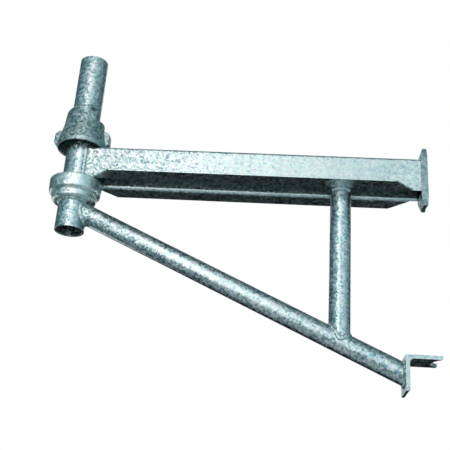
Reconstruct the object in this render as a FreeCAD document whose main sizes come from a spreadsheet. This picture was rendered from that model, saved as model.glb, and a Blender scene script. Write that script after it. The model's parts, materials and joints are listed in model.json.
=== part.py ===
import FreeCAD, Part
import Sketcher
import os

# Side bracket for a cup-joint scaffold, in millimetres.
# The origin is on the axis of the outer standard, at half the height of the beam.
# +X runs along the beam to the scaffold standard, +Z is up.

DIMENSIONS = {
    # Outer standard: a short scaffold tube
    "reach": 600,
    "standard_dia": 48.3,
    "standard_wall": 3.2,
    "standard_above": 208,
    "standard_below": 119,
    # Hat-section beam, folded from sheet
    "hat_height": 60,
    "hat_width": 40,
    "sheet_thick": 3,
    "bend_radius": 3,
    "deck_width": 102,
    "ledge_start": 62,
    "ledge_end": 78,
    # Forged blade at the inner end, measured from the scaffold standard's axis
    "seat_radius": 24.4,
    "blade_back": 33.5,
    "blade_front": 22.5,
    "blade_tip_back": 29.5,
    "blade_height": 104,
    "blade_width": 40,
    "blade_tip_width": 28,
    "blade_shoulder": 36,
    "blade_round": 2,
    # Post and diagonal brace: the same tube, the post measured from the scaffold standard's axis
    "tube_dia": 33.7,
    "tube_wall": 2.6,
    "post_back": 161.5,
    "post_top": 10,
    "brace_drop": 77,
    # Foot: a short piece of rolled angle, its top this far above the end of the brace's axis
    "foot_back": 66,
    "foot_drop": 301,
    "foot_rise": 24.5,
    "foot_leg": 54,
    "foot_thick": 6,
    "foot_width": 48,
    "foot_tip": 11.5,
    "foot_root": 6,
    "foot_toe": 3,
    # Bottom cup: pressed and welded on
    "rim_drop": 31,
    "cup_outer": 43.5,
    "cup_inner": 39.5,
    "cup_depth": 38,
    "cup_wall": 22,
    "cup_body": 42.5,
    "cup_shoulder": 5,
    "cup_heel": 36.5,
    "cup_corner": 3,
    "cup_base": 32.5,
    "pocket_side": 18,
    "pocket_depth": 26,
    "pocket_floor": 34,
    "cup_edge": 1.2,
    # Top cup: cast, sliding on the outer standard
    "skirt_bottom": 30.5,
    "skirt_outer": 41.5,
    "skirt_mouth": 38,
    "skirt_throat": 34,
    "roof_level": 59,
    "shoulder_level": 38,
    "collar_radius": 34.5,
    "collar_level": 72,
    "collar_bore": 25,
    "collar_top": 118,
    "collar_tip": 30.5,
    "cam_start": 82,
    "cam_pitch": 26,
    "cam_land": 29,
    "cam_bevel": 9,
    "key_angle": 310,
    "key_gap": 10,
    "key_width": 15,
    "key_depth": 32,
    "slot_level": 73,
    "lug_reach": 47.5,
    "lug_width": 16,
    "lug_bottom": 38.5,
    "lug_top": 64.5,
    "lug_corner": 3,
    "lug_slope": 7,
    "lug_root": 1,
    "cast_edge": 1.2,
    # Locking bar on the outer standard
    "bar_width": 12,
    "bar_height": 9,
    "bar_reach": 30.8,
    "bar_level": 101,
    # Weld beads, and how far a cutting outline reaches past the piece
    "bead": 4,
    "cut_past": 5,
}

doc = FreeCAD.newDocument("ScaffoldBracket")
sheet = doc.addObject("Spreadsheet::Sheet", "Dims")
for row, (alias, size) in enumerate(DIMENSIONS.items(), start=1):
    sheet.set(f"A{row}", alias)
    sheet.set(f"B{row}", str(size))
    sheet.setAlias(f"B{row}", alias)
doc.recompute()

STANDARD_RADIUS = "Dims.standard_dia / 2"
TUBE_RADIUS = "Dims.tube_dia / 2"
HAT_HALF = "Dims.hat_height / 2"
OUTER_BEND = "(Dims.bend_radius + Dims.sheet_thick)"
BRACE_SLOPE = "(Dims.foot_drop + Dims.foot_rise - Dims.brace_drop) / (Dims.reach - Dims.foot_back)"
BRACE_ANGLE = f"atan({BRACE_SLOPE})"
POST_PLACE = "(Dims.reach - Dims.post_back)"
NEAR = 0.01  # points of an edge this close to a place are at that place
sub_parts = []


def value(expression):
    """The number that an expression on the sheet gives now."""
    return float(sheet.evalExpression(expression))


def bind(item, **expressions):
    """Bind properties of an object to expressions; x, y and z place it."""
    for name, expression in expressions.items():
        path = f"Placement.Base.{name}" if name in ("x", "y", "z") else name
        item.setExpression(path, expression)
    return item


def sub_part(item, label):
    """Name a finished piece and keep it for the export."""
    item.Label = label
    sub_parts.append(item)
    return item


# Part primitives and booleans

def rod(name, radius, height, **place):
    """An upright cylinder."""
    item = doc.addObject("Part::Cylinder", name)
    return bind(item, Radius=radius, Height=height, **place)


def box(name, length, width, height, **place):
    item = doc.addObject("Part::Box", name)
    return bind(item, Length=length, Width=width, Height=height, **place)


def brace_rod(name, radius, length):
    """A cylinder on the brace's axis, from the outer standard's axis downwards."""
    item = rod(name, radius, length, z="-Dims.brace_drop")
    item.Placement.Rotation = FreeCAD.Rotation(FreeCAD.Vector(0, 1, 0), 90)
    return bind(item, **{"Placement.Rotation.Angle": f"90 deg + {BRACE_ANGLE}"})


def cut(name, base, *tools):
    for number, tool in enumerate(tools, start=1):
        item = doc.addObject("Part::Cut", f"{name}_{number}")
        item.Base = base
        item.Tool = tool
        base = item
    return base


def common(name, *shapes):
    item = doc.addObject("Part::MultiCommon", name)
    item.Shapes = list(shapes)
    return item


def fuse(name, *shapes):
    item = doc.addObject("Part::MultiFuse", name)
    item.Shapes = list(shapes)
    return item


# PartDesign bodies and sketches

def origin_feature(body, role):
    return next(item for item in body.Origin.OriginFeatures if item.Role == role)


def sketch_on(body, name, plane):
    sketch = body.newObject("Sketcher::SketchObject", name)
    sketch.AttachmentSupport = [(origin_feature(body, plane), "")]
    sketch.MapMode = "FlatFace"
    return sketch


def outline(sketch, corners):
    """Add a closed outline whose corners are pairs of expressions from the origin."""
    first = sketch.GeometryCount
    points = [FreeCAD.Vector(value(across), value(up), 0) for across, up in corners]
    count = len(points)
    for step, point in enumerate(points):
        sketch.addGeometry(Part.LineSegment(point, points[(step + 1) % count]))
    for step in range(count):
        following = first + (step + 1) % count
        sketch.addConstraint(Sketcher.Constraint("Coincident", first + step, 2, following, 1))
    for step, pair in enumerate(corners):
        for kind, expression in zip(("DistanceX", "DistanceY"), pair):
            rule = Sketcher.Constraint(kind, -1, 1, first + step, 1, value(expression))
            index = sketch.addConstraint(rule)
            sketch.setExpression(f"Constraints[{index}]", expression)
    return sketch


def circle(sketch, radius, across):
    """Add a circle centred on the sketch's horizontal axis."""
    centre = FreeCAD.Vector(value(across), 0, 0)
    index = sketch.addGeometry(Part.Circle(centre, FreeCAD.Vector(0, 0, 1), value(radius)))
    rules = (
        (Sketcher.Constraint("Radius", index, value(radius)), radius),
        (Sketcher.Constraint("DistanceX", -1, 1, index, 3, value(across)), across),
    )
    sketch.addConstraint(Sketcher.Constraint("PointOnObject", index, 3, -1))
    for rule, expression in rules:
        sketch.setExpression(f"Constraints[{sketch.addConstraint(rule)}]", expression)
    return sketch


def pad(body, name, sketch, length, midplane=False):
    feature = body.newObject("PartDesign::Pad", name)
    feature.Profile = sketch
    feature.Midplane = midplane
    return bind(feature, Length=length)


def pocket_through(body, name, sketch, midplane=True, upwards=False):
    """Cut the sketch through the whole body, both ways or upwards only."""
    feature = body.newObject("PartDesign::Pocket", name)
    feature.Profile = sketch
    feature.Type = "ThroughAll"
    feature.Midplane = midplane
    feature.Reversed = upwards
    return feature


def revolve(body, name, sketch):
    feature = body.newObject("PartDesign::Revolution", name)
    feature.Profile = sketch
    feature.ReferenceAxis = (sketch, ["V_Axis"])
    feature.Angle = 360
    return feature


def dress_edges(body, kind, name, base, wanted):
    """Add a fillet or chamfer to the edges of a feature for which wanted(edge) holds."""
    doc.recompute()
    edges = enumerate(base.Shape.Edges, start=1)
    feature = body.newObject(kind, name)
    feature.Base = (base, [f"Edge{index}" for index, edge in edges if wanted(edge)])
    return feature


def round_edges(body, name, base, radius, wanted):
    return bind(dress_edges(body, "PartDesign::Fillet", name, base, wanted), Radius=radius)


def break_edges(body, name, base, size, wanted):
    return bind(dress_edges(body, "PartDesign::Chamfer", name, base, wanted), Size=size)


def is_ring(edge, radius, level):
    """Whether an edge is a circle about the Z axis of this radius, at this level."""
    curve = edge.Curve
    if curve.TypeId != "Part::GeomCircle":
        return False
    return abs(curve.Radius - value(radius)) < NEAR and abs(curve.Center.z - value(level)) < NEAR


# Outer standard

standard_rod = rod(
    "StandardRod",
    STANDARD_RADIUS,
    "Dims.standard_above + Dims.standard_below",
    z="-Dims.standard_below",
)
standard_bore = rod(
    "StandardBore",
    f"{STANDARD_RADIUS} - Dims.standard_wall",
    "Dims.standard_above + Dims.standard_below",
    z="-Dims.standard_below",
)
outer_standard = sub_part(cut("OuterStandard", standard_rod, standard_bore), "outer_standard")


# Bottom cup: a wall, a shoulder that draws in to the heel, a broken corner and a ring-shaped pocket

def make_bottom_cup():
    rim = "-Dims.rim_drop"
    base = f"{rim} - Dims.cup_depth"
    floor = f"{rim} - Dims.pocket_depth"
    body = doc.addObject("PartDesign::Body", "BottomCup")
    profile = outline(sketch_on(body, "BottomCupProfile", "XZ_Plane"), [
        (STANDARD_RADIUS, base),
        ("Dims.cup_base", base),
        ("Dims.cup_heel", f"{base} + Dims.cup_corner"),
        ("Dims.cup_heel", f"{rim} - Dims.cup_wall - Dims.cup_shoulder"),
        ("Dims.cup_body", f"{rim} - Dims.cup_wall"),
        ("Dims.cup_outer", rim),
        ("Dims.cup_inner", rim),
        ("Dims.cup_inner", f"{rim} - Dims.pocket_side"),
        ("Dims.pocket_floor", floor),
        (STANDARD_RADIUS, floor),
    ])
    turned = revolve(body, "BottomCupTurned", profile)
    rings = (
        ("Dims.cup_outer", rim),
        ("Dims.cup_inner", rim),
    )
    break_edges(
        body, "BottomCupEdges", turned, "Dims.cup_edge",
        lambda edge: any(is_ring(edge, radius, level) for radius, level in rings),
    )
    return sub_part(body, "bottom_cup")


# Top cup: a skirt that draws in to a collar, a helical cam cut into the collar's top, a keyway and two lugs

def make_top_cup():
    bottom = "Dims.skirt_bottom"
    body = doc.addObject("PartDesign::Body", "TopCup")
    profile = outline(sketch_on(body, "TopCupProfile", "XZ_Plane"), [
        ("Dims.skirt_mouth", bottom),
        ("Dims.skirt_outer", bottom),
        ("Dims.skirt_outer", "Dims.shoulder_level"),
        ("Dims.collar_radius", "Dims.collar_level"),
        ("Dims.collar_tip", "Dims.collar_top"),
        ("Dims.collar_bore", "Dims.collar_top"),
        ("Dims.collar_bore", "Dims.roof_level"),
        ("Dims.skirt_throat", "Dims.roof_level"),
    ])
    turned = revolve(body, "TopCupTurned", profile)
    rings = (
        ("Dims.skirt_outer", bottom),
        ("Dims.skirt_mouth", bottom),
    )
    break_edges(
        body, "TopCupEdges", turned, "Dims.cast_edge",
        lambda edge: any(is_ring(edge, radius, level) for radius, level in rings),
    )

    # One lug in the XZ plane, its inner side buried in the wall, and its twin half a turn on
    wall_low = "(Dims.skirt_mouth + Dims.skirt_outer) / 2"
    lug_profile = outline(sketch_on(body, "LugProfile", "XZ_Plane"), [
        (wall_low, "Dims.lug_bottom"),
        ("Dims.lug_reach - Dims.lug_corner", "Dims.lug_bottom"),
        ("Dims.lug_reach", "Dims.lug_bottom + Dims.lug_corner"),
        ("Dims.lug_reach", "Dims.lug_top - Dims.lug_slope"),
        ("Dims.lug_reach - Dims.lug_slope", "Dims.lug_top"),
        ("Dims.collar_radius - Dims.lug_root", "Dims.lug_top"),
    ])
    lug = pad(body, "Lug", lug_profile, "Dims.lug_width", midplane=True)
    lugs = body.newObject("PartDesign::PolarPattern", "Lugs")
    lugs.Originals = [lug]
    lugs.Axis = (origin_feature(body, "Z_Axis"), [""])
    lugs.Angle = 360
    lugs.Occurrences = 2
    body.Tip = lugs
    doc.recompute()

    # The cam rises anticlockwise, seen from above, from one side of the keyway to the other
    key_turn = FreeCAD.Rotation(FreeCAD.Vector(0, 0, 1), value("Dims.key_angle"))
    inside = "Dims.collar_bore - Dims.cut_past"
    outside = "Dims.collar_radius + Dims.cut_past"
    above = "Dims.collar_top + Dims.cut_past"
    cam_profile = sketch_on(body, "CamProfile", "XZ_Plane")
    outline(cam_profile, [
        (inside, "Dims.cam_start"),
        ("Dims.cam_land", "Dims.cam_start"),
        (outside, "Dims.cam_start - Dims.cam_bevel"),
        (outside, above),
        (inside, above),
    ])
    cam_profile.AttachmentOffset.Rotation = FreeCAD.Rotation(FreeCAD.Vector(0, 1, 0), 1)
    bind(cam_profile, **{"AttachmentOffset.Rotation.Angle": "Dims.key_angle + Dims.key_gap"})
    cam = body.newObject("PartDesign::SubtractiveHelix", "Cam")
    cam.Profile = cam_profile
    cam.ReferenceAxis = (cam_profile, ["V_Axis"])
    cam.Mode = "pitch-turns-angle"
    bind(cam, Pitch="Dims.cam_pitch", Turns="1 - 2 * Dims.key_gap / 360")
    doc.recompute()

    # Keyway: a groove inside the collar that opens into a slot through the collar above its foot
    for name, depth, level in (
        ("Keyway", "Dims.key_depth", "Dims.shoulder_level"),
        ("KeySlot", outside, "Dims.slot_level"),
    ):
        key_profile = sketch_on(body, f"{name}Profile", "XY_Plane")
        outline(key_profile, [
            ("0", "-Dims.key_width / 2"),
            (depth, "-Dims.key_width / 2"),
            (depth, "Dims.key_width / 2"),
            ("0", "Dims.key_width / 2"),
        ])
        key_profile.AttachmentOffset.Rotation = key_turn
        bind(key_profile, **{
            "AttachmentOffset.Rotation.Angle": "Dims.key_angle",
            "AttachmentOffset.Base.z": level,
        })
        pocket_through(body, name, key_profile, midplane=False, upwards=True)
    return sub_part(body, "top_cup")


# Locking bar: a block on the outer standard, over the keyway

def make_locking_bar():
    blank = box("LockingBarBlank", "Dims.bar_reach", "Dims.bar_width", "Dims.bar_height")
    turn = FreeCAD.Rotation(FreeCAD.Vector(0, 0, 1), value("Dims.key_angle"))
    blank.Placement = FreeCAD.Placement(FreeCAD.Vector(0, 0, 0), turn)
    bind(
        blank,
        x="Dims.bar_width / 2 * sin(Dims.key_angle)",
        y="-Dims.bar_width / 2 * cos(Dims.key_angle)",
        z="Dims.bar_level",
        **{"Placement.Rotation.Angle": "Dims.key_angle"},
    )
    return sub_part(cut("LockingBar", blank, standard_rod), "locking_bar")


# Hat beam: folded section, coped round the outer standard, ledge corners cut at 45 degrees

def make_hat_beam():
    body = doc.addObject("PartDesign::Body", "HatBeam")
    wall = "Dims.hat_width / 2"
    edge = "Dims.deck_width / 2"
    sheet_in = "Dims.sheet_thick"
    right = [
        (wall, HAT_HALF),
        (wall, f"-{HAT_HALF} + {sheet_in}"),
        (edge, f"-{HAT_HALF} + {sheet_in}"),
        (edge, f"-{HAT_HALF}"),
        (f"{wall} - {sheet_in}", f"-{HAT_HALF}"),
        (f"{wall} - {sheet_in}", f"{HAT_HALF} - {sheet_in}"),
    ]
    left = [(f"-({across})", up) for across, up in reversed(right)]
    section = outline(sketch_on(body, "HatSection", "YZ_Plane"), right + left)
    start = f"sqrt(({STANDARD_RADIUS})^2 - ({wall})^2) - Dims.cut_past"
    bind(section, **{"AttachmentOffset.Base.z": start})
    folded = pad(body, "HatFolded", section, f"Dims.reach - Dims.blade_back - ({start})")

    def is_fold(item, across, up):
        middle = item.CenterOfMass
        return abs(abs(middle.y) - value(across)) < NEAR and abs(middle.z - value(up)) < NEAR

    inner_folds = (
        (f"{wall} - {sheet_in}", f"{HAT_HALF} - {sheet_in}"),
        (wall, f"-{HAT_HALF} + {sheet_in}"),
    )
    outer_folds = (
        (wall, HAT_HALF),
        (f"{wall} - {sheet_in}", f"-{HAT_HALF}"),
    )
    inside = round_edges(
        body, "InnerFolds", folded, "Dims.bend_radius",
        lambda item: any(is_fold(item, across, up) for across, up in inner_folds),
    )
    round_edges(
        body, "OuterFolds", inside, OUTER_BEND,
        lambda item: any(is_fold(item, across, up) for across, up in outer_folds),
    )

    cope = circle(sketch_on(body, "CopeCircle", "XY_Plane"), STANDARD_RADIUS, "0")
    pocket_through(body, "Cope", cope)

    # Each ledge ends in a 45-degree cut that meets the wall
    corner_cuts = sketch_on(body, "CornerCuts", "XY_Plane")
    slant = f"{edge} - {wall}"
    outside = f"{edge} + Dims.cut_past"
    ends = (
        ("Dims.ledge_start", f"Dims.ledge_start - ({slant})", "0"),
        (
            "Dims.reach - Dims.ledge_end",
            f"Dims.reach - Dims.ledge_end + {slant}",
            "Dims.reach - Dims.blade_back + Dims.cut_past",
        ),
    )
    for full, narrow, beyond in ends:
        for sign in ("", "-"):
            outline(corner_cuts, [
                (full, f"{sign}({edge})"),
                (narrow, f"{sign}({wall})"),
                (beyond, f"{sign}({wall})"),
                (beyond, f"{sign}({outside})"),
                (full, f"{sign}({outside})"),
            ])
    pocket_through(body, "LedgeCorners", corner_cuts)
    return sub_part(body, "hat_beam")


# End blade: tapered tips above and below the beam, a round seat for the scaffold standard

def make_end_blade():
    body = doc.addObject("PartDesign::Body", "EndBlade")
    half = "Dims.blade_height / 2"
    back = "Dims.reach - Dims.blade_back"
    front = "Dims.reach - Dims.blade_front"
    tip = "Dims.reach - Dims.blade_tip_back"
    side = outline(sketch_on(body, "BladeSide", "XZ_Plane"), [
        (back, "-Dims.blade_shoulder"),
        (tip, f"-{half}"),
        (front, f"-{half}"),
        (front, half),
        (tip, half),
        (back, "Dims.blade_shoulder"),
    ])
    forged = pad(body, "BladeForged", side, "Dims.blade_width", midplane=True)

    # The tips narrow towards their ends
    tip_cuts = sketch_on(body, "TipCuts", "YZ_Plane")
    beyond = f"{half} + Dims.cut_past"
    outside = "Dims.blade_width / 2 + Dims.cut_past"
    for across_sign in ("", "-"):
        for up_sign in ("", "-"):
            outline(tip_cuts, [
                (f"{across_sign}(Dims.blade_width / 2)", f"{up_sign}(Dims.blade_shoulder)"),
                (f"{across_sign}(Dims.blade_tip_width / 2)", f"{up_sign}({half})"),
                (f"{across_sign}(Dims.blade_tip_width / 2)", f"{up_sign}({beyond})"),
                (f"{across_sign}({outside})", f"{up_sign}({beyond})"),
                (f"{across_sign}({outside})", f"{up_sign}(Dims.blade_shoulder)"),
            ])
    tips = pocket_through(body, "BladeTips", tip_cuts)
    limit = value(half) - NEAR
    round_edges(
        body, "BladeRounds", tips, "Dims.blade_round",
        lambda edge: all(abs(vertex.Point.z) > limit for vertex in edge.Vertexes),
    )
    seat = circle(sketch_on(body, "BladeSeat", "XY_Plane"), "Dims.seat_radius", "Dims.reach")
    pocket_through(body, "Seat", seat)
    return sub_part(body, "end_blade")


# Foot: an L of rolled angle, its upper leg notched round the scaffold standard

def make_angle_foot():
    body = doc.addObject("PartDesign::Body", "AngleFoot")
    back = "Dims.reach - Dims.foot_back"
    face = f"{back} + Dims.foot_thick"
    tip = "Dims.reach - Dims.foot_tip"
    top = "-Dims.foot_drop"
    under = f"{top} - Dims.foot_thick"
    low = f"{top} - Dims.foot_leg"
    section = outline(sketch_on(body, "AngleSection", "XZ_Plane"), [
        (back, top),
        (tip, top),
        (tip, under),
        (face, under),
        (face, low),
        (back, low),
    ])
    rolled = pad(body, "AngleRolled", section, "Dims.foot_width", midplane=True)

    def runs_along(edge, across, up):
        ends = [vertex.Point for vertex in edge.Vertexes]
        return all(abs(end.x - value(across)) < NEAR and abs(end.z - value(up)) < NEAR for end in ends)

    root = round_edges(
        body, "AngleRoot", rolled, "Dims.foot_root", lambda edge: runs_along(edge, face, under)
    )
    round_edges(
        body, "AngleToes", root, "Dims.foot_toe",
        lambda edge: runs_along(edge, tip, under) or runs_along(edge, face, low),
    )
    notch = circle(sketch_on(body, "FootNotch", "XY_Plane"), "Dims.seat_radius", "Dims.reach")
    pocket_through(body, "Notch", notch)
    return sub_part(body, "angle_foot")


bottom_cup = make_bottom_cup()
top_cup = make_top_cup()
locking_bar = make_locking_bar()
hat_beam = make_hat_beam()
end_blade = make_end_blade()
angle_foot = make_angle_foot()


# Diagonal brace: coped round the outer standard, cut off upright at the foot

BRACE_LENGTH = f"Dims.reach / cos({BRACE_ANGLE})"
solid_brace = brace_rod("SolidBrace", TUBE_RADIUS, BRACE_LENGTH)
brace_bore = brace_rod("BraceBore", f"{TUBE_RADIUS} - Dims.tube_wall", BRACE_LENGTH)
past_foot = box(
    "PastFoot", "Dims.reach", "Dims.reach", "Dims.reach",
    x="Dims.reach - Dims.foot_back", y="-Dims.reach / 2", z="-Dims.reach",
)
diagonal_brace = sub_part(
    cut("DiagonalBrace", solid_brace, brace_bore, standard_rod, past_foot), "diagonal_brace"
)

# Post: its top between the walls of the beam, its lower end coped on the brace

POST_FOOT = f"-Dims.brace_drop - {POST_PLACE} * {BRACE_SLOPE}"
POST_LENGTH = f"Dims.post_top - ({POST_FOOT})"
solid_post = rod("SolidPost", TUBE_RADIUS, POST_LENGTH, x=POST_PLACE, z=POST_FOOT)
post_bore = rod(
    "PostBore", f"{TUBE_RADIUS} - Dims.tube_wall", POST_LENGTH, x=POST_PLACE, z=POST_FOOT
)
post = sub_part(cut("Post", solid_post, post_bore, solid_brace), "post")


# Weld beads: each fills the corner between two pieces and only touches them

BEAD_RADIUS = "0.75 * Dims.bead"
BEAD_OFFSET = "0.2 * Dims.bead"
ROOT_HEIGHT = f"0.8 * {OUTER_BEND}"


def weld_cup_standard():
    ring = doc.addObject("Part::Cone", "CupBeadRing")
    bind(
        ring,
        Radius1=STANDARD_RADIUS,
        Radius2=f"{STANDARD_RADIUS} + Dims.bead",
        Height="Dims.bead",
        z="-Dims.rim_drop - Dims.cup_depth - Dims.bead",
    )
    return sub_part(cut("CupBead", ring, standard_rod, solid_brace), "weld_cup_standard")


def weld_brace_standard(cup_bead):
    round_standard = rod(
        "StandardBeadRod", f"{STANDARD_RADIUS} + Dims.bead", "Dims.standard_below", z="-Dims.standard_below"
    )
    round_brace = brace_rod("BraceBeadRod", f"{TUBE_RADIUS} + Dims.bead", "Dims.standard_dia * 2")
    blank = common("BraceBeadBlank", round_standard, round_brace)
    bead = cut("BraceBead", blank, standard_rod, solid_brace, bottom_cup, cup_bead)
    return sub_part(bead, "weld_brace_standard")


def weld_post_brace():
    round_post = rod(
        "PostBeadRod", f"{TUBE_RADIUS} + Dims.bead", "Dims.tube_dia * 2", x=POST_PLACE, z=POST_FOOT
    )
    round_brace = brace_rod("PostBeadBrace", f"{TUBE_RADIUS} + Dims.bead", BRACE_LENGTH)
    blank = common("PostBraceBlank", round_post, round_brace)
    return sub_part(cut("PostBraceBead", blank, solid_post, solid_brace), "weld_post_brace")


def weld_brace_foot():
    round_brace = brace_rod("FootBeadBrace", f"{TUBE_RADIUS} + Dims.bead", BRACE_LENGTH)
    slab = box(
        "FootBeadSlab", "Dims.bead", "Dims.foot_width", "Dims.foot_leg",
        x="Dims.reach - Dims.foot_back - Dims.bead",
        y="-Dims.foot_width / 2",
        z="-Dims.foot_drop - Dims.foot_leg",
    )
    blank = common("FootBeadBlank", round_brace, slab)
    return sub_part(cut("FootBead", blank, solid_brace), "weld_brace_foot")


def weld_post_beam():
    """Two beads, one along each fold of the beam beside the post."""
    under = f"-{HAT_HALF}"
    taper = doc.addObject("Part::Cone", "PostBeadTaper")
    bind(
        taper,
        Radius1=TUBE_RADIUS,
        Radius2=f"{TUBE_RADIUS} + Dims.bead",
        Height="Dims.bead",
        x=POST_PLACE,
        z=f"{under} - Dims.bead",
    )
    root = rod(
        "PostBeadRoot", f"{TUBE_RADIUS} + Dims.bead / 2", ROOT_HEIGHT, x=POST_PLACE, z=under
    )
    mouth = box(
        "PostBeadMouth", "Dims.tube_dia * 2", TUBE_RADIUS, "Dims.tube_dia * 2",
        x=f"{POST_PLACE} - Dims.tube_dia", y=f"-{TUBE_RADIUS} / 2", z=f"{under} - Dims.tube_dia",
    )
    blank = fuse("PostBeamBlank", taper, root)
    return sub_part(cut("PostBeamBead", blank, solid_post, mouth, hat_beam), "weld_post_beam")


def weld_blade_beam():
    bead = rod(
        "BladeBeadRod", BEAD_RADIUS, f"Dims.hat_width - 2 * {OUTER_BEND}",
        x=f"Dims.reach - Dims.blade_back - {BEAD_OFFSET}",
        y=f"Dims.hat_width / 2 - {OUTER_BEND}",
        z=f"{HAT_HALF} + {BEAD_OFFSET}",
    )
    bead.Placement.Rotation = FreeCAD.Rotation(FreeCAD.Vector(1, 0, 0), 90)
    return sub_part(cut("BladeBead", bead, hat_beam, end_blade), "weld_blade_beam")


def weld_beam_standard():
    """Upright beads outside both walls of the beam and one across its top."""
    corner = f"sqrt(({STANDARD_RADIUS})^2 - (Dims.hat_width / 2)^2)"
    height = f"Dims.hat_height - 2 * {OUTER_BEND}"
    beads = []
    for name, sign in (("Near", "-"), ("Far", "")):
        beads.append(rod(
            f"BeamBead{name}", BEAD_RADIUS, height,
            x=f"{corner} + {BEAD_OFFSET}",
            y=f"{sign}(Dims.hat_width / 2 + {BEAD_OFFSET})",
            z=f"-({height}) / 2",
        ))
    ring = doc.addObject("Part::Cone", "BeamBeadRing")
    bind(
        ring,
        Radius1=f"{STANDARD_RADIUS} + Dims.bead",
        Radius2=STANDARD_RADIUS,
        Height="Dims.bead",
        z=HAT_HALF,
    )
    reach = box(
        "BeamBeadReach", "Dims.standard_dia", f"Dims.hat_width - 2 * {OUTER_BEND}", "Dims.bead",
        y=f"-Dims.hat_width / 2 + {OUTER_BEND}", z=HAT_HALF,
    )
    beads.append(common("BeamBeadTop", ring, reach))
    blank = fuse("BeamBeadBlank", *beads)
    return sub_part(cut("BeamBead", blank, standard_rod, hat_beam), "weld_beam_standard")


cup_bead = weld_cup_standard()
weld_brace_standard(cup_bead)
weld_post_brace()
weld_brace_foot()
weld_post_beam()
weld_blade_beam()
weld_beam_standard()


# Check every object, then write one file for each piece

doc.recompute()
failed = [item.Name for item in doc.Objects if {"Invalid", "Error"} & set(item.State)]
if failed:
    raise RuntimeError(f"objects that failed to build: {failed}")
os.makedirs("parts", exist_ok=True)
for item in sub_parts:
    shape = item.Shape
    if shape.isNull() or not shape.isValid():
        raise RuntimeError(f"{item.Label} has no valid shape")
    shape.exportStep(os.path.join("parts", f"{item.Label}.step"))
    print(f"{item.Label}: {len(shape.Solids)} solids, {shape.Volume / 1000:.2f} cm3")
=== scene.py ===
# %% [markdown]
# # A galvanised side bracket for a scaffold
#
# The real bracket is welded from tube, folded sheet, a forged blade and a piece of angle, and then
# dipped whole into molten zinc. So one finish covers it all, and what makes it look real is small:
# edges that the zinc has rounded, weld beads laid drop by drop, and crystals of zinc that each
# throw the light a little differently. The solids come from the frame, in metres, and every piece
# below starts from a solid of the frame or stands for one, so it lies where the frame says.

# %% Load the frame
import json
import math
import random

import bmesh
import bpy
from mathutils import Matrix, Vector
from mathutils.bvhtree import BVHTree

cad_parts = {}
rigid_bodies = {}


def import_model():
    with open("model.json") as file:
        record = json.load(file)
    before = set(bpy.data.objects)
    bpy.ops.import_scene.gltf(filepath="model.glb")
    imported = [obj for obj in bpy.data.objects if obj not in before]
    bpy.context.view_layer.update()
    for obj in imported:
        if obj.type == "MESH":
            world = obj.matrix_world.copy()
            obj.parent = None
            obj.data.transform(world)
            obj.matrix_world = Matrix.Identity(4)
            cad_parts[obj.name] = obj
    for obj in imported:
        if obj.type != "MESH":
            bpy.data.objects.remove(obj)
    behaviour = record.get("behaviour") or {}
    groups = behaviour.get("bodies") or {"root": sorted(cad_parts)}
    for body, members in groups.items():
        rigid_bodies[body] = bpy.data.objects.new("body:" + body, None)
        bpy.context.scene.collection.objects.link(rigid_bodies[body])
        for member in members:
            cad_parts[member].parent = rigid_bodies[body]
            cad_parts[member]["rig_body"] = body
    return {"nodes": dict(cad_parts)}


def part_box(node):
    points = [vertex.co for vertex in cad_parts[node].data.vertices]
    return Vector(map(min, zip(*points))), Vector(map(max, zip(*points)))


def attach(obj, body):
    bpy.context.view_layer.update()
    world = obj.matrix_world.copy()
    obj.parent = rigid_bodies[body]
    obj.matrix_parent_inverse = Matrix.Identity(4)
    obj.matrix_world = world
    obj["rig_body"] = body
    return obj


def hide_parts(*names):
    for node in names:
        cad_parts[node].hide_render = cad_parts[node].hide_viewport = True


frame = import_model()
bpy.context.view_layer.update()
scene = bpy.context.scene
scene.view_settings.view_transform = "Standard"
MM = 0.001

# %% [markdown]
# ## The camera
#
# The photograph was taken from below, with the beam almost square to the view. A camera could be
# placed by eye, but the edges of the tubes fix it well: their slopes give the tilt, and how much
# the upright tubes lean to each other gives the distance. The three turns below are those of a
# tripod head: pan, tilt and roll.

# %% Camera
CAMERA_PLACE = Vector((334.4, -1225.7, -639.2)) * MM
CAMERA_PAN, CAMERA_TILT, CAMERA_ROLL = 3.8, 23.87, 4.07
CAMERA_LENS = 66.37

camera_data = bpy.data.cameras.new("camera")
camera_data.lens = CAMERA_LENS
camera = bpy.data.objects.new("camera", camera_data)
scene.collection.objects.link(camera)
pan = Matrix.Rotation(math.radians(CAMERA_PAN), 4, "Z")
tilt = Matrix.Rotation(math.radians(90 + CAMERA_TILT), 4, "X")
roll = Matrix.Rotation(math.radians(CAMERA_ROLL), 4, "Z")
camera.matrix_world = Matrix.Translation(CAMERA_PLACE) @ pan @ tilt @ roll
scene.camera = camera
print("camera looks along", [round(-part, 3) for part in camera.matrix_world.col[2][:3]])

# %% [markdown]
# ## Helpers for finishes
#
# Colours are written as sRGB hex values, as a paint chart gives them, and the shader wants linear
# light. Nodes are added by one small function: it sets what is given by name, links an input that
# is another node's output and fills in any other.

# %% Colour and node helpers
def linear(hex_code):
    """A colour such as "#C8D0CE" as linear red, green, blue and an alpha of 1."""
    parts = [int(hex_code[start:start + 2], 16) / 255 for start in (1, 3, 5)]
    return [p / 12.92 if p <= 0.04045 else ((p + 0.055) / 1.055) ** 2.4 for p in parts] + [1.0]


def add(tree, kind, inputs=None, **settings):
    """Add a shader node; an input that is an output socket is linked, any other value is set."""
    node = tree.nodes.new(f"ShaderNode{kind}")
    for name, setting in settings.items():
        setattr(node, name, setting)
    for name, given in (inputs or {}).items():
        if isinstance(given, bpy.types.NodeSocket):
            tree.links.new(given, node.inputs[name])
        else:
            node.inputs[name].default_value = given
    return node


print("pale zinc in linear light:", [round(part, 3) for part in linear("#D3DCDA")])

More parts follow.
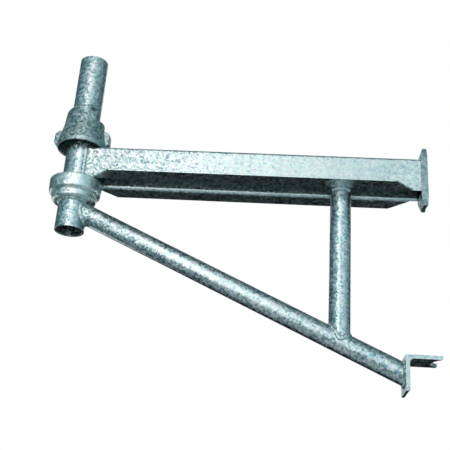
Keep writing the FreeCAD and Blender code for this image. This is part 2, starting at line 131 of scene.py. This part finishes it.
# %% [markdown]
# ## Zinc
#
# Hot-dip galvanised steel is a rough metal mirror made of crystals. Each crystal reflects its own
# way, so the surface sparkles in patches of a few millimetres. A bump alone would look like
# hammered paint, so here each crystal tilts the surface by its own small angle and has its own
# roughness and a breath of its own colour. Clouds of paler and duller zinc lie over the crystals,
# drawn out downwards as the bath ran off, and under them is the slightly wavy skin that it left.
# Last come the outer edges, which hands and tubes have rubbed bright.

# %% The zinc recipe
CLOUD_MM = 30
DRAINED = (1, 1, 0.45)
SKIN_MM = 5
CRYSTAL_SHARE = 0.72
CRYSTAL_TINT = 0.09
ROUGH_SPREAD = 0.10
MIDDLE_OF_COLOURS = (0.5, 0.5, 0.5)
WEAR_MM = 1.6
WEAR_FROM, WEAR_FULL = 0.9, 0.5
WEAR_SHARE = 0.55
WEAR_POLISH = 0.25
RUBBED = "#EFF5F5"
# A mix node has inputs for each kind of value: these are its two colours, and what comes out.
FIRST, SECOND, MIXED = 6, 7, 2


def galvanised(name, pale, dull, crystal_mm, tilt, rough, skin_height_mm):
    """Zinc between two colours, with crystals of a size that tilt the surface, on a wavy skin."""
    material = bpy.data.materials.new(name)
    material.use_nodes = True
    tree = material.node_tree
    shader = tree.nodes["Principled BSDF"]
    shader.inputs["Metallic"].default_value = 1.0
    place = add(tree, "TexCoord").outputs["Object"]

    grain = 1 / (crystal_mm * MM)
    crystals = add(tree, "TexVoronoi", {"Vector": place, "Scale": grain}).outputs["Color"]
    chance = add(tree, "SeparateColor", {"Color": crystals}).outputs["Red"]
    drained = add(tree, "Mapping", {"Vector": place, "Scale": DRAINED}).outputs["Vector"]
    wide = {"Vector": drained, "Scale": 1 / (CLOUD_MM * MM), "Detail": 4.0}
    clouds = add(tree, "TexNoise", wide).outputs["Fac"]
    both = {"Factor": CRYSTAL_SHARE, "A": clouds, "B": chance}
    share = add(tree, "Mix", both).outputs["Result"]
    shades = {"Factor": share, FIRST: linear(dull), SECOND: linear(pale)}
    zinc = add(tree, "Mix", shades, data_type="RGBA").outputs[MIXED]
    breath = {"Factor": CRYSTAL_TINT, FIRST: zinc, SECOND: crystals}
    tinted = add(tree, "Mix", breath, data_type="RGBA").outputs[MIXED]

    # Looking inwards from the skin, the metal is thin only near an outer edge: there the zinc is
    # rubbed bright, more on one crystal than on the next.
    inwards = {"inside": True, "only_local": True, "samples": 6}
    depth = add(tree, "AmbientOcclusion", {"Distance": WEAR_MM * MM}, **inwards).outputs["AO"]
    edge = {"Value": depth, "From Min": WEAR_FROM, "From Max": WEAR_FULL, "To Max": WEAR_SHARE}
    near_edge = add(tree, "MapRange", edge).outputs["Result"]
    worn = add(tree, "Math", {0: near_edge, 1: share}, operation="MULTIPLY").outputs[0]
    shine = {"Factor": worn, FIRST: tinted, SECOND: linear(RUBBED)}
    rubbed = add(tree, "Mix", shine, data_type="RGBA").outputs[MIXED]
    tree.links.new(rubbed, shader.inputs["Base Color"])

    spread = {"Value": chance, "To Min": rough - ROUGH_SPREAD, "To Max": rough + ROUGH_SPREAD}
    gloss = add(tree, "MapRange", spread).outputs["Result"]
    polish = add(tree, "Math", {0: worn, 1: -WEAR_POLISH, 2: gloss}, operation="MULTIPLY_ADD")
    tree.links.new(polish.outputs[0], shader.inputs["Roughness"])

    own_way = {0: crystals, 1: MIDDLE_OF_COLOURS}
    centred = add(tree, "VectorMath", own_way, operation="SUBTRACT").outputs[0]
    swing = {0: centred, "Scale": 2 * tilt}
    leaning = add(tree, "VectorMath", swing, operation="SCALE").outputs[0]
    surface = add(tree, "NewGeometry").outputs["Normal"]
    facing = add(tree, "VectorMath", {0: surface, 1: leaning}, operation="ADD").outputs[0]
    facing = add(tree, "VectorMath", {0: facing}, operation="NORMALIZE").outputs[0]
    fine = {"Vector": place, "Scale": 1 / (SKIN_MM * MM), "Detail": 2.0}
    waves = add(tree, "TexNoise", fine).outputs["Fac"]
    hills = {"Height": waves, "Distance": skin_height_mm * MM, "Normal": facing}
    skin = add(tree, "Bump", hills)
    tree.links.new(skin.outputs["Normal"], shader.inputs["Normal"])
    return material


print(f"clouds of {CLOUD_MM} mm, skin waves of {SKIN_MM} mm, edges rubbed {WEAR_MM} mm deep")

# %% [markdown]
# ### One finish for each kind of steel
#
# Zinc grows on the steel under it, so each piece got its own from the same bath: calm on smooth
# sheet, dull on castings and forgings. One recipe with different numbers keeps them a family.
# Real crystals are 1 to 5 mm across. A pixel of the picture shows about 2 mm, and finer crystals
# would be lost in it, so they are drawn in the coarser half of what is real.

# %% Finishes
# Folded sheet is smooth, so its zinc lies calm: a pale wall with small sparks.
zinc_on_sheet = galvanised(
    "zinc_on_sheet", pale="#ECF3F3", dull="#86A0A4",
    crystal_mm=3.4, tilt=0.10, rough=0.37, skin_height_mm=0.12,
)
# Drawn tube takes zinc unevenly: sparks along its bright stripe and dark specks beside it.
zinc_on_tube = galvanised(
    "zinc_on_tube", pale="#EEF5F6", dull="#527B85",
    crystal_mm=3.4, tilt=0.06, rough=0.32, skin_height_mm=0.10,
)
# The pressing is the palest piece, with a soft shine round its rim.
zinc_on_pressing = galvanised(
    "zinc_on_pressing", pale="#F0F7F7", dull="#B2C7C9",
    crystal_mm=3.4, tilt=0.12, rough=0.38, skin_height_mm=0.25,
)
# Cast iron keeps the grain of its mould: the cup looks duller than the tube it slides on.
zinc_on_casting = galvanised(
    "zinc_on_casting", pale="#C4D4D5", dull="#5F7F85",
    crystal_mm=3.4, tilt=0.16, rough=0.42, skin_height_mm=0.35,
)
# Rolled angle is flat and scaly: broad patches, so its two legs differ at a glance.
zinc_on_angle = galvanised(
    "zinc_on_angle", pale="#DDE8E8", dull="#86A0A5",
    crystal_mm=3.6, tilt=0.12, rough=0.36, skin_height_mm=0.20,
)
# Forged steel grows a thick grey layer: the blade reads as the dark end of the beam.
zinc_on_forging = galvanised(
    "zinc_on_forging", pale="#B9CACC", dull="#55757C",
    crystal_mm=3.6, tilt=0.14, rough=0.40, skin_height_mm=0.25,
)
# Weld metal takes fine-grained zinc: each bead is a dull rope between brighter plates.
zinc_on_weld = galvanised(
    "zinc_on_weld", pale="#DAE7E8", dull="#84A1A6",
    crystal_mm=2.6, tilt=0.10, rough=0.40, skin_height_mm=0.10,
)
print("finishes:", [item.name for item in bpy.data.materials if item.name.startswith("zinc")])

# %% [markdown]
# ## Edges that the zinc has rounded
#
# A solid from the drawing has perfectly sharp edges, and no real edge is. Sawn tube, folded sheet
# and rolled angle all have a small radius, and the zinc bath adds its own. So each solid is
# copied, its loose triangles are merged and joined back into whole faces, and then every edge that
# turns by more than a set angle is bevelled. A bevel modifier could do it too, but here the bevel
# is wanted in the mesh, and the flat faces keep their look through weighted normals.

# %% Copying and softening
MERGE = 0.02 * MM
FLAT = math.radians(1)
SHARP = math.radians(35)
BEVEL_STEPS = 3


def copied(node):
    """A bmesh of a solid of the frame, merged, with flat faces whole again."""
    bm = bmesh.new()
    bm.from_mesh(frame["nodes"][node].data)
    bmesh.ops.remove_doubles(bm, verts=bm.verts, dist=MERGE)
    bmesh.ops.dissolve_limit(bm, angle_limit=FLAT, verts=bm.verts, edges=bm.edges)
    return bm


def soften(bm, radius_mm, clamp):
    """Round each sharp edge of a bmesh."""
    skin = BVHTree.FromBMesh(bm)
    sharp = [edge for edge in bm.edges if edge.is_manifold and edge.calc_face_angle() > SHARP]
    bmesh.ops.bevel(
        bm, geom=sharp, offset=radius_mm * MM, offset_type="OFFSET", affect="EDGES",
        segments=BEVEL_STEPS, profile=0.5, material=-1, clamp_overlap=clamp,
    )
    # Where edges meet almost in line, a bevel throws a corner far out. It is drawn back.
    strays = 0
    for vert in bm.verts:
        nearest, _, _, distance = skin.find_nearest(vert.co)
        if distance > radius_mm * MM:
            vert.co = nearest
            strays += 1
    print(len(sharp), "edges rounded,", strays, "stray corners drawn back")


print(f"edges that turn by more than {math.degrees(SHARP):.0f} degrees will be rounded")

# %% [markdown]
# ### Tubes, sheet, blade, angle and bar
#
# Sawn tube and folded sheet are thin, so they get about half a millimetre, and the thicker blade,
# angle and bar get more. Where clamping is on, a bevel stops before it runs into the next one.
# The sheet and the blade have short edges beside long ones, which would stop the long ones early,
# so there it is off.

# %% Softened pieces
def show(bm, name, finish, slot, *nodes, flats=False):
    """Make a piece of a bmesh; it stands for the given nodes and moves with their body."""
    mesh = bpy.data.meshes.new(name)
    bm.to_mesh(mesh)
    bm.free()
    mesh.shade_smooth()
    mesh.materials.append(finish)
    piece = bpy.data.objects.new(name, mesh)
    scene.collection.objects.link(piece)
    if flats:
        piece.modifiers.new("keep flat faces flat", "WEIGHTED_NORMAL").keep_sharp = True
    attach(piece, frame["nodes"][nodes[0]]["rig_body"])
    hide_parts(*nodes)
    print(f"{name}: {len(mesh.polygons)} faces for {', '.join(nodes)}")
    return piece


# Piece, solid, radius in mm, clamping, finish.
SOFT_COPIES = [
    ("standard_tube", "outer_standard", 0.7, True, zinc_on_tube),
    ("brace_tube", "diagonal_brace", 0.5, True, zinc_on_tube),
    ("post_tube", "post", 0.5, True, zinc_on_tube),
    ("folded_beam", "hat_beam", 0.5, False, zinc_on_sheet),
    ("forged_blade", "end_blade", 0.8, False, zinc_on_forging),
    ("angle_foot_bar", "angle_foot", 0.8, True, zinc_on_angle),
    ("locking_block", "locking_bar", 1.0, True, zinc_on_forging),
]
for name, node, radius_mm, clamp, finish in SOFT_COPIES:
    bm = copied(node)
    soften(bm, radius_mm, clamp)
    show(bm, name, finish, "galvanised_steel", node, flats=True)

# %% [markdown]
# ## Cast and pressed cups
#
# The loose upper cup is a casting and the lower cup is a pressing, welded on. Neither has a crisp
# edge anywhere. Bevels fail where a cam, lugs and cones meet at odd angles, so these copies are
# melted instead: a voxel remesh gives one even skin, and a few rounds of smoothing draw it over
# the edges as a mould and the zinc do.

# %% Melted copies
CUP_GRAIN_MM = 0.9


def melt(bm, grain_mm, rounds):
    """Turn the closed shells of a bmesh into one even skin and smooth it."""
    raw = bpy.data.objects.new("raw", bpy.data.meshes.new("raw"))
    bm.to_mesh(raw.data)
    scene.collection.objects.link(raw)
    remesh = raw.modifiers.new("melt", "REMESH")
    remesh.mode = "VOXEL"
    remesh.voxel_size = grain_mm * MM
    melted = raw.evaluated_get(bpy.context.evaluated_depsgraph_get())
    skin = bpy.data.meshes.new_from_object(melted)
    bm.clear()
    bm.from_mesh(skin)
    bpy.data.objects.remove(raw)
    bpy.data.meshes.remove(skin)
    for _ in range(rounds):
        bmesh.ops.smooth_vert(
            bm, verts=bm.verts, factor=0.5, use_axis_x=True, use_axis_y=True, use_axis_z=True,
        )


# Piece, solid, rounds of smoothing, finish, slot.
CUPS = [
    ("cast_cup", "top_cup", 6, zinc_on_casting, "galvanised_casting"),
    ("pressed_cup", "bottom_cup", 14, zinc_on_pressing, "galvanised_steel"),
]
for name, node, rounds, finish, slot in CUPS:
    bm = copied(node)
    melt(bm, CUP_GRAIN_MM, rounds)
    show(bm, name, finish, slot, node)

# %% [markdown]
# ## Weld beads
#
# A hand weld is a row of drops that froze one over the other, like a pushed-over stack of coins.
# A smooth ring of a fillet would look machined. So each bead is a row of flat drops along the line
# where two pieces meet, leaning back against each other and never quite alike, and then melted
# into one skin. The lines are worked out from the pieces: where a tube meets a flat plate it is an
# ellipse, and where it meets another tube it is a saddle.

# %% Drops along a line
DROP_PITCH = 2.3
DROP_HALF = (2.5, 4.3, 2.5)
DROP_LEAN = math.radians(38)
DROP_SWELL = (0.9, 1.12)
LINE_STEPS = 720
unsteady = random.Random(11)


def lay(bm, line, first, last):
    """Lay drops along line(t), which gives a point and a way outwards, both in mm."""
    before = line(first)[0]
    run = DROP_PITCH
    for step in range(1, LINE_STEPS + 1):
        point, outwards = line(first + (last - first) * step / LINE_STEPS)
        run += (point - before).length
        if run >= DROP_PITCH:
            along = (point - before).normalized()
            across = outwards.cross(along).normalized()
            turn = Matrix((along, across, along.cross(across))).transposed().to_4x4()
            swell = unsteady.uniform(*DROP_SWELL)
            size = Matrix.Diagonal((*(half * swell for half in DROP_HALF), 1))
            lean = Matrix.Rotation(DROP_LEAN, 4, "Y")
            place = Matrix.Scale(MM, 4) @ Matrix.Translation(point) @ turn @ lean @ size
            bmesh.ops.create_icosphere(bm, subdivisions=2, radius=1, matrix=place)
            run = 0
        before = point


standard_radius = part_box("outer_standard")[1].x / MM
tube_radius = (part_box("post")[1].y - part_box("post")[0].y) / 2 / MM
print(f"standard radius {standard_radius:.2f} mm, tube radius {tube_radius:.2f} mm")

# %% [markdown]
# ### The lines
#
# The brace starts on the standard's axis a little under the lower cup and ends in the middle of
# the foot's back. Everything else follows from those two points and the tubes' radii.

# %% Where the pieces meet
BRACE_DROP = 77
FOOT_RISE = 24.5
UP = Vector((0, 0, 1))
post_x = (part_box("post")[0].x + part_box("post")[1].x) / 2 / MM
foot_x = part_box("angle_foot")[0].x / MM
brace_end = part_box("angle_foot")[1].z / MM - FOOT_RISE
slope = math.atan2(-BRACE_DROP - brace_end, foot_x)
beam_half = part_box("hat_beam")[1].z / MM
blade_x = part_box("end_blade")[0].x / MM
cup_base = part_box("bottom_cup")[0].z / MM
brace_along = Vector((math.cos(slope), 0, -math.sin(slope)))
brace_up = Vector((math.sin(slope), 0, math.cos(slope)))
brace_side = Vector((0, 1, 0))


def about_z(turn):
    """The way outwards from an upright axis at a turn in degrees."""
    return Vector((math.cos(math.radians(turn)), math.sin(math.radians(turn)), 0))


def on_brace(turn, x_at):
    """A point on the brace's skin at an X that may depend on its Y, and the way outwards there."""
    outwards = brace_up * math.cos(math.radians(turn)) + brace_side * math.sin(math.radians(turn))
    start = Vector((0, 0, -BRACE_DROP)) + outwards * tube_radius
    return start + brace_along * (x_at(start.y) - start.x) / brace_along.x, outwards


print(f"brace falls by {math.degrees(slope):.2f} degrees to z {brace_end:.1f} mm")

# %% Lines of the welds
BEAM_WIDTH = 40
BLADE_BEAD_LIFT = 1


def brace_to_standard(turn):
    """The saddle where the brace runs into the standard."""
    point, outwards = on_brace(turn, lambda y: math.sqrt(standard_radius ** 2 - y ** 2))
    return point, outwards + Vector((point.x, point.y, 0)).normalized()


def brace_to_foot(turn):
    """The ellipse where the brace stands on the foot's back."""
    point, outwards = on_brace(turn, lambda y: foot_x)
    return point, outwards + Vector((-1, 0, 0))


def post_to_brace(turn):
    """The saddle where the post sits on the brace."""
    around = about_z(turn)
    x = post_x + tube_radius * around.x
    z = -BRACE_DROP + (tube_radius * abs(around.x) - x * math.sin(slope)) / math.cos(slope)
    outwards = around + brace_up * abs(around.x) + brace_side * around.y
    return Vector((x, tube_radius * around.y, z)), outwards


def post_to_beam(turn):
    """The ring round the post, level with the underside of the beam."""
    around = about_z(turn)
    return Vector((post_x, 0, -beam_half)) + around * tube_radius, around - UP


def cup_to_standard(turn):
    """The ring round the standard under the lower cup."""
    around = about_z(turn)
    return around * standard_radius + UP * cup_base, around - UP


def beam_to_standard(turn):
    """The arc round the standard on top of the beam."""
    around = about_z(turn)
    return around * standard_radius + UP * beam_half, around + UP


def wall_to_standard(side):
    """The upright line where the beam's wall on one side meets the standard."""
    y = side * BEAM_WIDTH / 2
    x = math.sqrt(standard_radius ** 2 - y ** 2)
    outwards = Vector((x, y, 0)).normalized() + Vector((0, side, 0))
    return lambda height: (Vector((x, y, height)), outwards)


def blade_to_beam(y):
    """The line across the beam's top, lifted a little, since a drop is thicker than the sheet."""
    return Vector((blade_x, y, beam_half + BLADE_BEAD_LIFT)), Vector((-1, 0, 1))


print(f"lines from the standard to x {blade_x:.1f} mm at the blade and {foot_x:.1f} mm at the foot")

# %% [markdown]
# ### The beads
#
# Each bead below stands for one weld of the frame. Where another piece is in the torch's way, as
# the brace is under the cup, the bead stops short, as the welder's did. The two numbers after a
# line say where it starts and ends: in degrees round a tube, in millimetres along a straight line.

# %% Beads
BEAD_GRAIN_MM = 0.4
BEAD_ROUNDS = 2
BEADS = [
    ("weld_cup_standard", [(cup_to_standard, 24, 336)]),
    ("weld_brace_standard", [(brace_to_standard, 28, 332)]),
    ("weld_post_brace", [(post_to_brace, 0, 360)]),
    ("weld_brace_foot", [(brace_to_foot, 0, 360)]),
    ("weld_post_beam", [(post_to_beam, 42, 138), (post_to_beam, 222, 318)]),
    ("weld_beam_standard", [
        (beam_to_standard, -34, 34),
        (wall_to_standard(-1), -24, 24),
        (wall_to_standard(1), -24, 24),
    ]),
    ("weld_blade_beam", [(blade_to_beam, -14, 14)]),
]
for node, runs in BEADS:
    bm = bmesh.new()
    for line, first, last in runs:
        lay(bm, line, first, last)
    melt(bm, BEAD_GRAIN_MM, BEAD_ROUNDS)
    show(bm, node.replace("weld", "bead"), zinc_on_weld, "weld", node)

# %% [markdown]
# ## The floor
#
# A plain pale floor lies far below. It could be a plane, but a plane has an edge that shows from
# some side, so this is a disc that fades to nothing at its rim. For the camera it is a thin veil
# over the white, on which a shadow still shows. In the metal it is mirrored whole.

# %% Floor
FLOOR_MIDDLE = (0.27, -0.6, -1.3)
FLOOR_RADIUS = 1.5
FLOOR_SIDES = 128
FADE_FROM = 0.4
VEIL = 0.62

floor_bm = bmesh.new()
floor_place = Matrix.Translation(FLOOR_MIDDLE)
bmesh.ops.create_circle(
    floor_bm, cap_ends=True, segments=FLOOR_SIDES, radius=FLOOR_RADIUS, matrix=floor_place,
)
floor_mesh = bpy.data.meshes.new("floor")
floor_bm.to_mesh(floor_mesh)
floor_bm.free()
floor = bpy.data.objects.new("floor", floor_mesh)
scene.collection.objects.link(floor)

# Matt paint on a studio floor: no shine, only a soft shadow.
pale_floor = bpy.data.materials.new("pale_floor")
pale_floor.use_nodes = True
tree = pale_floor.node_tree
paint = tree.nodes["Principled BSDF"]
paint.inputs["Base Color"].default_value = linear("#F0F2F2")
paint.inputs["Roughness"].default_value = 0.8
spot = add(tree, "TexCoord").outputs["Object"]
reach = {0: spot, 1: FLOOR_MIDDLE}
away = add(tree, "VectorMath", reach, operation="DISTANCE").outputs["Value"]
rim = {"Value": away, "From Min": FADE_FROM * FLOOR_RADIUS, "From Max": FLOOR_RADIUS}
fade = add(tree, "MapRange", rim, interpolation_type="SMOOTHSTEP").outputs["Result"]
clear = add(tree, "BsdfTransparent").outputs["BSDF"]
looked_at = add(tree, "LightPath").outputs["Is Camera Ray"]
veil = add(tree, "Math", {0: looked_at, 1: VEIL}, operation="MULTIPLY").outputs[0]
faint = add(tree, "Mix", {"Factor": fade, "A": veil, "B": 1.0}).outputs["Result"]
blend = {0: faint, 1: paint.outputs["BSDF"], 2: clear}
faded = add(tree, "MixShader", blend).outputs["Shader"]
tree.links.new(faded, tree.nodes["Material Output"].inputs["Surface"])
floor_mesh.materials.append(pale_floor)

# %% [markdown]
# ## The lamps
#
# Metal shows nothing but its surroundings, so the studio is part of the finish. The bright stripe
# on every tube is a tall softbox to the left of the camera, and a smaller one above it lights the
# beam's wall and the top of the standard. A narrow one further right sharpens the stripe on the
# post, and a lying one carries the stripe of the brace on to the foot. One lamp high at the back
# and two low ones at its sides hardly show from the front. They are there because the bracket is
# also looked at from behind.

# %% Softboxes
WARM, COOL = "#FFEBE0", "#F4FAFB"
BRACKET_MIDDLE = (0.27, 0, -0.10)


def softbox(name, place, aim, size, radiance, colour, lean=0):
    """An oblong lamp that faces a point, its top leaning right; the camera doesn't see it."""
    lamp = bpy.data.lights.new(name, "AREA")
    lamp.shape = "RECTANGLE"
    lamp.size, lamp.size_y = size
    lamp.energy = radiance * math.pi * size[0] * size[1]
    lamp.color = linear(colour)[:3]
    holder = bpy.data.objects.new(name, lamp)
    scene.collection.objects.link(holder)
    facing = (Vector(aim) - Vector(place)).to_track_quat("-Z", "Y").to_matrix().to_4x4()
    leaning = Matrix.Rotation(-math.radians(lean), 4, "Z")
    holder.matrix_world = Matrix.Translation(place) @ facing @ leaning
    holder.visible_camera = False
    print(f"{name}: {lamp.energy:.2f} W")


softbox(
    "key", place=(-0.28, -1.40, -0.22), aim=(-0.11, 0, -0.22), size=(0.42, 1.50),
    radiance=2.3, colour=WARM, lean=20,
)
softbox(
    "upper", place=(0.02, -1.40, 0.80), aim=(0.05, 0, 0.30), size=(0.42, 0.60),
    radiance=1.6, colour=WARM,
)
softbox(
    "post_strip", place=(0.30, -1.40, 0.68), aim=(0.30, 0, -0.10), size=(0.14, 1.05),
    radiance=1.6, colour=WARM, lean=19,
)
softbox(
    "brace_strip", place=(0.28, -1.40, -0.30), aim=(0.40, 0, -0.22), size=(0.60, 0.22),
    radiance=1.3, colour=WARM, lean=25,
)
softbox(
    "back", place=(-0.62, 0.62, 1.55), aim=(0.27, 0, -0.05), size=(0.9, 0.9),
    radiance=1.9, colour=COOL,
)
for name, x in (("low_left", -0.90), ("low_right", 1.45)):
    softbox(
        name, place=(x, 1.00, -0.46), aim=BRACKET_MIDDLE, size=(0.6, 0.9),
        radiance=1.5, colour=COOL,
    )

# %% [markdown]
# ## The room
#
# The world is one node tree on the way a ray is heading. A picture of a studio could stand here,
# but a few slow changes of brightness are all that rough zinc can show. The broad grey beside each
# stripe is a bright room in front, less so towards the ceiling. The tubes' dark edges are the dim
# walls, and the black underside of the beam is the floor behind the bracket, which lies in shade.

# %% The bright front, the ceiling and the dark below
ROOM_FRONT = (0.16, -0.94, 0.30)
FRONT_FALL = 2.6
CEILING_HEIGHT = (0.48, 0.76)
BELOW_CEILING, AT_CEILING = 1.14, 0.5
BACK_BELOW = (-0.03, 0.895, -0.445)
SHADE_CONE = (0.58, 0.92)
WALLS, SHADE = 0.15, 0.003

world = bpy.data.worlds.new("studio")
scene.world = world
world.use_nodes = True
tree = world.node_tree
tree.nodes.clear()
heading = add(tree, "TexCoord").outputs["Generated"]
towards = {0: heading, 1: BACK_BELOW}
under = add(tree, "VectorMath", towards, operation="DOT_PRODUCT").outputs["Value"]
cone = dict(zip(("From Min", "From Max"), SHADE_CONE))
dark = {"Value": under, **cone, "To Min": WALLS, "To Max": SHADE}
walls = add(tree, "MapRange", dark, interpolation_type="SMOOTHSTEP").outputs["Result"]
towards = {0: heading, 1: ROOM_FRONT}
ahead = add(tree, "VectorMath", towards, operation="DOT_PRODUCT").outputs["Value"]
nearness = add(tree, "Math", {0: ahead, 1: 0.5, 2: 0.5}, operation="MULTIPLY_ADD").outputs[0]
glow = add(tree, "Math", {0: nearness, 1: FRONT_FALL}, operation="POWER").outputs[0]
height = add(tree, "SeparateXYZ", {"Vector": heading}).outputs["Z"]
rise = dict(zip(("From Min", "From Max"), CEILING_HEIGHT))
ceiling = {"Value": height, **rise, "To Min": BELOW_CEILING, "To Max": AT_CEILING}
lit = add(tree, "MapRange", ceiling, interpolation_type="SMOOTHSTEP").outputs["Result"]
room = add(tree, "Math", {0: glow, 1: lit, 2: walls}, operation="MULTIPLY_ADD").outputs[0]
print("room nodes:", len(tree.nodes))

# %% [markdown]
# ### The white paper
#
# Rays from the camera see plain white, as in the photograph, and so do mirrored rays that go
# straight on behind the bracket, where the white paper hangs. The room's light has a cool hue that
# is strongest where it is dim, and white stays white.

# %% Paper, hue and the end of the tree
PAPER_MIDDLE = (-0.06, 0.912, 0.405)
PAPER_CONE = (0.88, 0.96)
DIM_HUE, BRIGHT_HUE, WHITE = "#A4DDE6", "#E2F5F9", "#FFFFFF"

towards = {0: heading, 1: PAPER_MIDDLE}
onward = add(tree, "VectorMath", towards, operation="DOT_PRODUCT").outputs["Value"]
sheet = {"Value": onward, **dict(zip(("From Min", "From Max"), PAPER_CONE))}
paper = add(tree, "MapRange", sheet, interpolation_type="SMOOTHSTEP").outputs["Result"]
ray = add(tree, "LightPath").outputs
on_paper = {0: ray["Is Glossy Ray"], 1: paper}
mirrored = add(tree, "Math", on_paper, operation="MULTIPLY").outputs[0]
straight = {0: ray["Is Camera Ray"], 1: ray["Is Transmission Ray"]}
seen = add(tree, "Math", straight, operation="MAXIMUM").outputs[0]
white = add(tree, "Math", {0: seen, 1: mirrored}, operation="MAXIMUM").outputs[0]
level = add(tree, "Mix", {"Factor": white, "A": room, "B": 1.0}).outputs["Result"]
cool = {"Factor": glow, FIRST: linear(DIM_HUE), SECOND: linear(BRIGHT_HUE)}
hue = add(tree, "Mix", cool, data_type="RGBA").outputs[MIXED]
plain = {"Factor": white, FIRST: hue, SECOND: linear(WHITE)}
tint = add(tree, "Mix", plain, data_type="RGBA").outputs[MIXED]
background = add(tree, "Background", {"Color": tint, "Strength": level}).outputs["Background"]
add(tree, "OutputWorld", {"Surface": background})
print("world nodes:", len(tree.nodes))

# %% [markdown]
# ## The end
#
# Last, the view layer is brought up to date.

# %% The end
bpy.context.view_layer.update()
